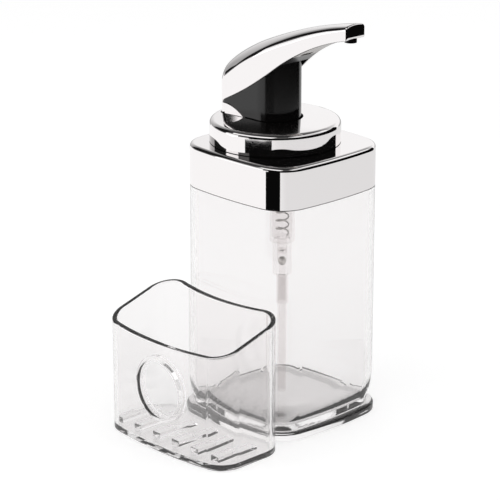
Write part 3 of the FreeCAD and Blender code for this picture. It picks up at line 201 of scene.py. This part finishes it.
# Collar liner: the lid's inner moulding, which drops into the bottle's mouth and carries the pump.
# It is black ABS from a polished mould: dark, with a soft sheen. The mould's fine texture is 0.6 mm
# coarse here, so that it shows.
black, tree = new_material("black_abs")
place = add(tree, "ShaderNodeTexCoord")
grain = add(tree, "ShaderNodeTexNoise", Vector=place.outputs["Object"], Scale=per_metre(0.6), Detail=3.0)
shade = add(tree, "ShaderNodeMapRange", Value=grain.outputs["Fac"], To_Min=0.12, To_Max=0.18)
pits = add(tree, "ShaderNodeBump", Strength=0.01, Distance=0.0002, Height=grain.outputs["Fac"])
plastic = add(
    tree, "ShaderNodeBsdfPrincipled",
    Base_Color=linear("#080707"), Roughness=shade.outputs["Result"], IOR=1.53, Normal=pits.outputs["Normal"],
)
add(tree, "ShaderNodeOutputMaterial", Surface=plastic.outputs[0])
dress(black, "collar_liner")

# Collar cover: the square plated cover of the lid, flush with the bottle's sides.
# It is ABS with bright chrome plating: a mirror with a long soft waviness from the moulding beneath.
chrome, tree = new_material("chrome_plated_abs")
place = add(tree, "ShaderNodeTexCoord")
wave = add(tree, "ShaderNodeTexNoise", Vector=place.outputs["Object"], Scale=per_metre(9), Detail=1.0)
wipe = add(tree, "ShaderNodeTexNoise", Vector=place.outputs["Object"], Scale=per_metre(2), Detail=5.0)
polish = add(tree, "ShaderNodeMapRange", Value=wipe.outputs["Fac"], To_Min=0.02, To_Max=0.06)
ripple = add(tree, "ShaderNodeBump", Strength=0.01, Distance=0.001, Height=wave.outputs["Fac"])
plate = add(
    tree, "ShaderNodeBsdfPrincipled",
    Base_Color=linear("#F7F4F4"), Metallic=1.0, Roughness=polish.outputs["Result"],
    Normal=ripple.outputs["Normal"],
)
add(tree, "ShaderNodeOutputMaterial", Surface=plate.outputs[0])
dress(chrome, "collar_cover")

# Lid seal: a flat ring between the liner's flange and the bottle's rim.
# It is moulded silicone rubber, pale grey and dull.
rubber, tree = new_material("silicone_rubber")
place = add(tree, "ShaderNodeTexCoord")
bloom = add(tree, "ShaderNodeTexNoise", Vector=place.outputs["Object"], Scale=per_metre(1), Detail=2.0)
shade = add(tree, "ShaderNodeMapRange", Value=bloom.outputs["Fac"], To_Min=0.45, To_Max=0.65)
seal = add(
    tree, "ShaderNodeBsdfPrincipled",
    Base_Color=linear("#D8D6D3"), Roughness=shade.outputs["Result"], IOR=1.41,
)
add(tree, "ShaderNodeOutputMaterial", Surface=seal.outputs[0])
dress(rubber, "lid_seal")

# Cap guide: the ring inside the cap in which the pump's head slides.
# It is moulded in the liner's black ABS.
dress(black, "cap_guide")

# Cap cover: the round plated cap on the collar, with an opening in the shape of the head.
# It is ABS with the collar's chrome plating.
dress(chrome, "cap_cover")

# Cap screws: four screws through the guide's flange down into the liner's pillars, under the cap.
# They are stainless steel, a pale metal with a soft shine. The fine grain that drawing leaves in it
# is 0.5 mm coarse here, so that it shows.
steel, tree = new_material("stainless_steel")
place = add(tree, "ShaderNodeTexCoord")
draw = add(tree, "ShaderNodeTexNoise", Vector=place.outputs["Object"], Scale=per_metre(0.5), Detail=2.0)
shade = add(tree, "ShaderNodeMapRange", Value=draw.outputs["Fac"], To_Min=0.2, To_Max=0.35)
wire = add(
    tree, "ShaderNodeBsdfPrincipled",
    Base_Color=linear("#C9C7C4"), Metallic=1.0, Roughness=shade.outputs["Result"],
)
add(tree, "ShaderNodeOutputMaterial", Surface=wire.outputs[0])
dress(steel, "cap_screws")

# Pump cylinder, hung in the liner, and the fittings on it: nut, closure, foot valve and ball retainer.
# They are moulded in natural polypropylene: milky, so that what is inside shows through it.
# Each face holds back a small share of the light, and the rest goes straight through.
MILKY_SHARE = 0.045
milky, tree = new_material("natural_polypropylene")
place = add(tree, "ShaderNodeTexCoord")
cloud = add(tree, "ShaderNodeTexNoise", Vector=place.outputs["Object"], Scale=per_metre(4), Detail=3.0)
tone = add(
    tree, "ShaderNodeMix", {"data_type": "RGBA"},
    Factor=cloud.outputs["Fac"], i6=linear("#F4F2F1"), i7=linear("#FDFCFB"),
)
wax = add(tree, "ShaderNodeBsdfPrincipled", Base_Color=tone.outputs[2], Roughness=0.3, IOR=1.49)
through = add(tree, "ShaderNodeBsdfTransparent", Color=linear("#FCFBFB"))
body = add(tree, "ShaderNodeMixShader", i0=MILKY_SHARE, i1=through.outputs[0], i2=wax.outputs[0])
add(tree, "ShaderNodeOutputMaterial", Surface=body.outputs[0])
dress(milky, "pump_cylinder", "pump_nut", "cylinder_closure", "foot_valve", "ball_retainer")

# Pump gasket: a flat ring between the cylinder's flange and the liner.
# It is cut from a sheet of the seal's silicone rubber.
dress(rubber, "pump_gasket")

# Inlet ball: the loose ball that closes the foot valve, kept in by the retainer above it.
# It is ground from stainless steel.
dress(steel, "inlet_ball")

# Dip tube: the tube from the foot valve's socket, where it is pressed in, to just above the bottle's floor.
# It is extruded natural polyethylene, which looks as milky as the pump's polypropylene.
dress(milky, "dip_tube")

# Return spring: stainless wire wound round the pump's axis, between the cylinder's ledge and the piston.
# In the pump it shortens as the head goes down; here it is built at one length. Sizes are in millimetres.
SPRING_RADIUS = 3.8
WIRE_RADIUS = 0.45
SPRING_LOW = 96.8
SPRING_HIGH = 124.5
SPRING_TURNS = 6
TURN_STEPS = 32
WIRE_STEPS = 10
spring_steps = SPRING_TURNS * TURN_STEPS
spring_climb = SPRING_HIGH - SPRING_LOW - 2 * WIRE_RADIUS
rings = []
for step in range(spring_steps + 1):
    angle = 2 * math.pi * step / TURN_STEPS
    middle = SPRING_LOW + WIRE_RADIUS + spring_climb * step / spring_steps
    ring = []
    for around in range(WIRE_STEPS):
        # The points run down the wire's outer side, so that its faces look outward
        tilt = -2 * math.pi * around / WIRE_STEPS
        reach = SPRING_RADIUS + WIRE_RADIUS * math.cos(tilt)
        ring.append((reach * math.cos(angle), reach * math.sin(angle), middle + WIRE_RADIUS * math.sin(tilt)))
    rings.append(ring)
points, faces = skin(rings)
spring = new_piece("wound_spring", points, faces, [steel])
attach(spring, "lid_body")
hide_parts("return_spring")
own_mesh(spring)

# Piston and hollow stem, which the head pushes down inside the cylinder.
# They are moulded in the cylinder's natural polypropylene.
dress(milky, "piston", "pump_stem")

# Neck core: the column between the cap and the head's shell, which slides in the cap's guide.
# It is a polished moulding in black ABS.
dress(black, "head_core")

# Heel: a narrow trim round the back of the neck, clipped on below the shell.
# It is ABS with the collar's chrome plating.
dress(chrome, "head_heel")

# Head shell: the plated hood and spout, an ABS moulding open below over the neck. Its crown is broad
# at the back and flat at the tip, and the tip's lower lip is rounded. The plating stops at the edge,
# so the inside is the bare black plastic. Sizes are in millimetres, and +X is towards the tip.
SHELL_WALL = 1.4
# Each station along the shell: its place, half width, height of the crest and rise of the crown
SHELL_STATIONS = [
    (-34.5, 13.9, 185.0, 11.5),
    (-24.5, 14.0, 191.8, 10.0),
    (-14.0, 14.0, 197.5, 7.8),
    (-3.0, 13.5, 202.2, 5.9),
    (8.6, 11.3, 206.5, 4.4),
    (23.0, 8.5, 211.1, 3.0),
    (37.0, 7.1, 214.6, 1.6),
    (50.8, 6.7, 217.3, 0.9),
]
SHELL_BACK = SHELL_STATIONS[0][0]
SHELL_TIP = SHELL_STATIONS[-1][0]
# The lower edge, as places and heights: level at the back, then one arc to the spout and one along it
FLAT_END = (-31.1, 165.3)
CURVE_MEET = (3.3, 186.1)
SPOUT_TIP = (SHELL_TIP, 209.4)
REAR_CURVE = 168.8
SPOUT_CURVE = 109.0
# The back: round corners in plan, and an arc from the side that runs over into the crown
BACK_HALF = 14.0
BACK_CORNER = 6.0
BACK_ROUND_FOOT = (SHELL_BACK, 176.0)
BACK_ROUND_TOP = (-26.5, 190.6)
BACK_ROUND_RADIUS = 16.5
# How softly that arc meets the crown: hardly at its top, and more over a short run backwards
SOFT_LEAST = 0.02
SOFT_GROWTH = 0.5
SOFT_RUN = 3.0
SOFT_REACH = 10
# The shoulder between side and crown: least rounded at the tip, and more over a run backwards
TIP_SHOULDER = 2.2
SHOULDER_GROWTH = 2.4
SHOULDER_RUN = 35.0
TIP_ROUND = 1.2
LIP_ROUND = 1.6
WALL_STEPS = 12
SHOULDER_STEPS = 6
CROWN_STEPS = 16
CORNER_ROWS = 13
RUN_ROWS = 120
LIP_ROWS = 10


def between_stations(column, x):
    """A smooth value between the shell's stations."""
    last = len(SHELL_STATIONS) - 1
    n = max(k for k in range(last) if k == 0 or SHELL_STATIONS[k][0] <= x)
    slopes = []
    for k in (n, n + 1):
        before = SHELL_STATIONS[max(k - 1, 0)]
        after = SHELL_STATIONS[min(k + 1, last)]
        slopes.append((after[column] - before[column]) / (after[0] - before[0]))
    start = SHELL_STATIONS[n]
    end = SHELL_STATIONS[n + 1]
    span = end[0] - start[0]
    t = (x - start[0]) / span
    bend = slopes[0] * span * t * (1 - t) ** 2 - slopes[1] * span * t * t * (1 - t)
    return start[column] + (end[column] - start[column]) * t * t * (3 - 2 * t) + bend


def arc_height(first, last, radius, side, x):
    """The height at x on an arc through two points; side is 1 where the arc's middle lies below it."""
    half_x = (last[0] - first[0]) / 2
    half_z = (last[1] - first[1]) / 2
    reach = math.sqrt(radius ** 2 / (half_x ** 2 + half_z ** 2) - 1)
    centre_x = first[0] + half_x + side * half_z * reach
    centre_z = first[1] + half_z - side * half_x * reach
    return centre_z + side * math.sqrt(max(radius ** 2 - (x - centre_x) ** 2, 0))


def lower_edge(x):
    """The height of the shell's lower edge."""
    if x < FLAT_END[0]:
        return FLAT_END[1]
    if x < CURVE_MEET[0]:
        return arc_height(FLAT_END, CURVE_MEET, REAR_CURVE, -1, x)
    return arc_height(CURVE_MEET, SPOUT_TIP, SPOUT_CURVE, 1, x)


def under_back_round(x, low, z):
    """A height brought under the rounding of the shell's back, but not below low."""
    limit = arc_height(BACK_ROUND_FOOT, BACK_ROUND_TOP, BACK_ROUND_RADIUS, 1, x)
    soft = SOFT_LEAST + SOFT_GROWTH * min(1, (BACK_ROUND_TOP[0] - x) / SOFT_RUN)
    if limit - z > SOFT_REACH * soft:
        return z
    return max(low, limit - soft * math.log1p(math.exp((limit - z) / soft)))


def shell_section(x, inset, lip):
    """Points across the shell from its lower edge on the +Y side over the crown to the other one."""
    half = between_stations(1, x) - inset
    top = between_stations(2, x) - inset
    crown = between_stations(3, x)
    low = lower_edge(x) + lip
    corner_x = SHELL_BACK + BACK_CORNER
    if x < corner_x:
        corner_half = math.sqrt(max(BACK_CORNER ** 2 - (x - corner_x) ** 2, 0))
        half = min(half, BACK_HALF - BACK_CORNER + corner_half)
    crown_radius = (half ** 2 + crown ** 2) / (2 * crown)
    crown_middle = top - crown_radius
    shoulder = TIP_SHOULDER + SHOULDER_GROWTH * min(1, (SHELL_TIP - x) / SHOULDER_RUN)
    middle_y = half - shoulder
    middle_z = crown_middle + math.sqrt(max((crown_radius - shoulder) ** 2 - middle_y ** 2, 0))
    meet = math.atan2(middle_z - crown_middle, middle_y)
    near = [(half, low + (middle_z - low) * n / WALL_STEPS) for n in range(WALL_STEPS)]
    for n in range(SHOULDER_STEPS):
        angle = meet * n / SHOULDER_STEPS
        near.append((middle_y + shoulder * math.cos(angle), middle_z + shoulder * math.sin(angle)))
    for n in range(CROWN_STEPS + 1):
        angle = meet + (math.pi / 2 - meet) * n / CROWN_STEPS
        near.append((crown_radius * math.cos(angle), crown_middle + crown_radius * math.sin(angle)))
    if x < BACK_ROUND_TOP[0]:
        near = [(y, under_back_round(x, low, z)) for y, z in near]
    far = [(-y, z) for y, z in reversed(near[:-1])]
    return [(x, y, z) for y, z in near + far]


run_start = SHELL_BACK + BACK_CORNER
run_end = SHELL_TIP - LIP_ROUND
rows = []
for n in range(CORNER_ROWS + 1):
    turn = math.pi / 2 * n / CORNER_ROWS
    rows.append(shell_section(SHELL_BACK + BACK_CORNER * (1 - math.cos(turn)), 0, 0))
for n in range(1, RUN_ROWS + 1):
    rows.append(shell_section(run_start + (run_end - run_start) * n / RUN_ROWS, 0, 0))
for n in range(1, LIP_ROWS + 1):
    turn = math.pi / 2 * n / LIP_ROWS
    x = run_end + LIP_ROUND * math.sin(turn)
    depth = max(x - (SHELL_TIP - TIP_ROUND), 0)
    inset = TIP_ROUND - math.sqrt(max(TIP_ROUND ** 2 - depth ** 2, 0))
    rows.append(shell_section(x, inset, LIP_ROUND * (1 - math.cos(turn))))
points, faces = skin(rows, open_rows=len(rows) - 1 - LIP_ROWS)
hood = new_piece("plated_hood", points, faces, [chrome, black], sharp=50)
wall = hood.modifiers.new("wall", "SOLIDIFY")
wall.thickness = SHELL_WALL / 1000
wall.offset = -1
wall.material_offset = 1
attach(hood, "head_body")
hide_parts("head_shell")

# Spout cover: the strip that closes the spout below, with a drain slot and the nozzle's notch.
# It is ABS with satin chrome plating over a blasted face: grey, with blurred reflections. The blasting
# is 0.4 mm coarse here, so that it shows. The rear end, beside the neck, is left bare and black.
BARE_REAR = 15.5
satin, tree = new_material("satin_chrome_plated_abs")
place = add(tree, "ShaderNodeTexCoord")
blast = add(tree, "ShaderNodeTexNoise", Vector=place.outputs["Object"], Scale=per_metre(0.4), Detail=3.0)
shade = add(tree, "ShaderNodeMapRange", Value=blast.outputs["Fac"], To_Min=0.2, To_Max=0.3)
along = add(tree, "ShaderNodeSeparateXYZ", Vector=place.outputs["Object"])
plated = add(
    tree, "ShaderNodeMath", {"operation": "GREATER_THAN"},
    i0=along.outputs["X"], i1=BARE_REAR / 1000,
)
tone = add(
    tree, "ShaderNodeMix", {"data_type": "RGBA"},
    Factor=plated.outputs[0], i6=linear("#080707"), i7=linear("#A9A4A1"),
)
plate = add(
    tree, "ShaderNodeBsdfPrincipled",
    Base_Color=tone.outputs[2], Metallic=plated.outputs[0], Roughness=shade.outputs["Result"],
)
add(tree, "ShaderNodeOutputMaterial", Surface=plate.outputs[0])
dress(satin, "spout_cover")

# Delivery tube: the bent tube inside the head, from the stem along the spout to the nozzle's socket.
# It is extruded in the pump's natural polypropylene.
dress(milky, "delivery_tube")

# Nozzle: the short outlet under the spout's tip, which stands in the cover's notch.
# It is moulded in black ABS.
dress(black, "nozzle")

# Caddy: a clear cup for a sponge, with a hole in front and ribs on its floor.
# It is injection moulded in the bottle's acrylic, with a rounded rim, and stands free beside the bottle.
dress(acrylic, "caddy")

# Camera: at the photograph's viewing angle, with a long lens.
# The floor, cards, walls and lamps that follow are set out round the object as it is seen from here.
scene = bpy.context.scene
scene.view_settings.view_transform = "Standard"
camera_data = bpy.data.cameras.new("camera")
camera_data.sensor_width = 36
camera_data.lens = 164.22
camera_data.clip_end = 10
camera = bpy.data.objects.new("camera", camera_data)
scene.collection.objects.link(camera)
camera.location = (0.802408, -0.795305, 0.470566)
aim = Vector((-0.011662, -0.012122, 0.087803))
camera.rotation_euler = (aim - camera.location).to_track_quat("-Z", "Y").to_euler()
scene.camera = camera

# Floor: a wide sheet of white paper, 0.2 mm under the base so that the two faces don't coincide.
# The eye and the acrylic see it white but for the object's shadow. Mirrors see it white on the left
# and a little greyer on the right. Lengths are in metres.
FLOOR_SIZE = 30
FLOOR_LEVEL = -0.0002
VIEW_RIGHT = (0.693, 0.721, 0)
WHITE = linear("#FFFFFF")
bpy.ops.mesh.primitive_plane_add(size=FLOOR_SIZE, location=(0, 0, FLOOR_LEVEL))
floor = bpy.context.object
floor.name = "floor"
paper, tree = new_material("white_paper")
path = add(tree, "ShaderNodeLightPath")
place = add(tree, "ShaderNodeTexCoord")
across = add(
    tree, "ShaderNodeVectorMath", {"operation": "DOT_PRODUCT"},
    i0=place.outputs["Object"], i1=VIEW_RIGHT,
)
side = add(
    tree, "ShaderNodeMapRange",
    Value=across.outputs["Value"], From_Min=-0.25, From_Max=0.1, To_Min=1.0, To_Max=0.79,
)
matte = add(tree, "ShaderNodeBsdfDiffuse", Color=linear("#F2F2F2"))
glow = add(tree, "ShaderNodeEmission", Color=WHITE, Strength=0.44)
bent_glow = add(tree, "ShaderNodeEmission", Color=WHITE, Strength=0.37)
mirror_glow = add(tree, "ShaderNodeEmission", Color=WHITE, Strength=side.outputs["Result"])
lit = add(tree, "ShaderNodeAddShader", i0=matte.outputs[0], i1=glow.outputs[0])
bent_lit = add(tree, "ShaderNodeAddShader", i0=matte.outputs[0], i1=bent_glow.outputs[0])
direct = add(
    tree, "ShaderNodeMixShader",
    i0=path.outputs["Is Camera Ray"], i1=matte.outputs[0], i2=lit.outputs[0],
)
mirror = add(
    tree, "ShaderNodeMixShader",
    i0=path.outputs["Is Glossy Ray"], i1=direct.outputs[0], i2=mirror_glow.outputs[0],
)
sheet = add(
    tree, "ShaderNodeMixShader",
    i0=path.outputs["Is Transmission Ray"], i1=mirror.outputs[0], i2=bent_lit.outputs[0],
)
add(tree, "ShaderNodeOutputMaterial", Surface=sheet.outputs[0])
floor.data.materials.append(paper)

# Cards round the object that only mirrors see: three black flags and a grey strip behind.
# Reflections inside the acrylic show the black ones grey.
CARD_STEPS = 24
INSIDE_LEVEL = 0.4
view_turn = math.atan2(camera.location.y, camera.location.x)


def card(name, first, last, distance, low, high, brightness):
    """A curved card; its angles are in degrees from the camera to the right, its lengths in millimetres."""
    points = []
    for step in range(CARD_STEPS + 1):
        angle = view_turn + math.radians(first + (last - first) * step / CARD_STEPS)
        for z in (low, high):
            points.append((distance * math.cos(angle), distance * math.sin(angle), z))
    faces = [(2 * n, 2 * n + 2, 2 * n + 3, 2 * n + 1) for n in range(CARD_STEPS)]
    material, tree = new_material(name)
    path = add(tree, "ShaderNodeLightPath")
    inside = add(
        tree, "ShaderNodeMath", {"operation": "GREATER_THAN"},
        i0=path.outputs["Transmission Depth"], i1=0.5,
    )
    level = add(
        tree, "ShaderNodeMapRange",
        Value=inside.outputs[0], To_Min=brightness, To_Max=max(brightness, INSIDE_LEVEL),
    )
    glow = add(tree, "ShaderNodeEmission", Color=WHITE, Strength=level.outputs["Result"])
    add(tree, "ShaderNodeOutputMaterial", Surface=glow.outputs[0])
    item = new_piece(name, points, faces, [material])
    item.visible_camera = False
    item.visible_diffuse = False
    item.visible_transmission = False
    item.visible_shadow = False


card("near_flag", first=-52, last=-6, distance=330, low=0, high=70, brightness=0.003)
card("dark_room", first=-45, last=130, distance=600, low=0, high=430, brightness=0.003)
card("rear_strip", first=140, last=215, distance=950, low=0, high=200, brightness=0.42)
card("left_screen", first=-130, last=-94, distance=600, low=220, high=750, brightness=0.01)

# Studio walls and ceiling: bright behind the object, darker on the left, in front and overhead.
# Seen through the acrylic they are paler. The eye itself sees plain white, and the light on matte
# things comes from a plain pale room.
VIEW_AWAY = (-0.7206, 0.6933, 0)
world = bpy.data.worlds.new("studio")
scene.world = world
world.use_nodes = True
tree = world.node_tree
tree.nodes.clear()
path = add(tree, "ShaderNodeLightPath")
way = add(tree, "ShaderNodeTexCoord")
behind = add(
    tree, "ShaderNodeVectorMath", {"operation": "DOT_PRODUCT"},
    i0=way.outputs["Generated"], i1=VIEW_AWAY,
)
rear = add(
    tree, "ShaderNodeMapRange",
    Value=behind.outputs["Value"], From_Min=-0.1, From_Max=0.5, To_Min=0.2, To_Max=0.97,
)
upward = add(tree, "ShaderNodeSeparateXYZ", Vector=way.outputs["Generated"])
roof = add(
    tree, "ShaderNodeMapRange",
    Value=upward.outputs["Z"], From_Min=0.36, From_Max=0.75, To_Min=1.0, To_Max=0.15,
)
across = add(
    tree, "ShaderNodeVectorMath", {"operation": "DOT_PRODUCT"},
    i0=way.outputs["Generated"], i1=VIEW_RIGHT,
)
left = add(
    tree, "ShaderNodeMapRange",
    Value=across.outputs["Value"], From_Min=-0.6, From_Max=0.05, To_Min=0.4, To_Max=1.0,
)
walls = add(
    tree, "ShaderNodeMath", {"operation": "MULTIPLY"},
    i0=rear.outputs["Result"], i1=left.outputs["Result"],
)
level = add(tree, "ShaderNodeMath", {"operation": "MULTIPLY"}, i0=walls.outputs[0], i1=roof.outputs["Result"])
inside = add(
    tree, "ShaderNodeMath", {"operation": "GREATER_THAN"},
    i0=path.outputs["Transmission Depth"], i1=0.5,
)
lifted = add(tree, "ShaderNodeMath", {"operation": "MULTIPLY_ADD"}, i0=level.outputs[0], i1=0.3, i2=0.69)
shown = add(
    tree, "ShaderNodeMix", {"data_type": "FLOAT"},
    i0=inside.outputs[0], i2=level.outputs[0], i3=lifted.outputs[0],
)
mirrored = add(tree, "ShaderNodeBackground", Color=WHITE, Strength=shown.outputs[0])
plain = add(tree, "ShaderNodeBackground", Color=WHITE, Strength=0.55)
white = add(tree, "ShaderNodeBackground", Color=WHITE, Strength=1.0)
bent = add(
    tree, "ShaderNodeMath", {"operation": "MAXIMUM"},
    i0=path.outputs["Is Glossy Ray"], i1=path.outputs["Is Transmission Ray"],
)
straight = add(tree, "ShaderNodeMath", {"operation": "LESS_THAN"}, i0=path.outputs["Diffuse Depth"], i1=0.5)
seen = add(tree, "ShaderNodeMath", {"operation": "MULTIPLY"}, i0=bent.outputs[0], i1=straight.outputs[0])
indirect = add(tree, "ShaderNodeMixShader", i0=seen.outputs[0], i1=plain.outputs[0], i2=mirrored.outputs[0])
room = add(
    tree, "ShaderNodeMixShader",
    i0=path.outputs["Is Camera Ray"], i1=indirect.outputs[0], i2=white.outputs[0],
)
add(tree, "ShaderNodeOutputWorld", Surface=room.outputs[0])

# Lamps: three soft boxes at a plain level, all aimed at the bottle's upper half.
# Angles are in degrees, to the right of the camera and upward, and lengths in metres.
LAMP_AIM = Vector((0, 0, 0.12))


def softbox(name, turn, rise, distance, width, height, brightness):
    """A soft lamp; its brightness is what a mirror shows of it."""
    lamp = bpy.data.lights.new(name, "AREA")
    lamp.shape = "RECTANGLE"
    lamp.size = width
    lamp.size_y = height
    lamp.energy = math.pi * width * height * brightness
    item = bpy.data.objects.new(name, lamp)
    angle = view_turn + math.radians(turn)
    reach = distance * math.cos(math.radians(rise))
    climb = distance * math.sin(math.radians(rise))
    item.location = LAMP_AIM + Vector((reach * math.cos(angle), reach * math.sin(angle), climb))
    item.rotation_euler = (LAMP_AIM - item.location).to_track_quat("-Z", "Y").to_euler()
    item.visible_camera = False
    scene.collection.objects.link(item)


softbox("left_front_box", turn=-45, rise=45, distance=1.5, width=2.0, height=0.6, brightness=1.0)
softbox("right_box", turn=75, rise=45, distance=1.5, width=2.0, height=0.6, brightness=0.7)
softbox("left_box", turn=-80, rise=9, distance=1.5, width=0.7, height=0.62, brightness=0.9)
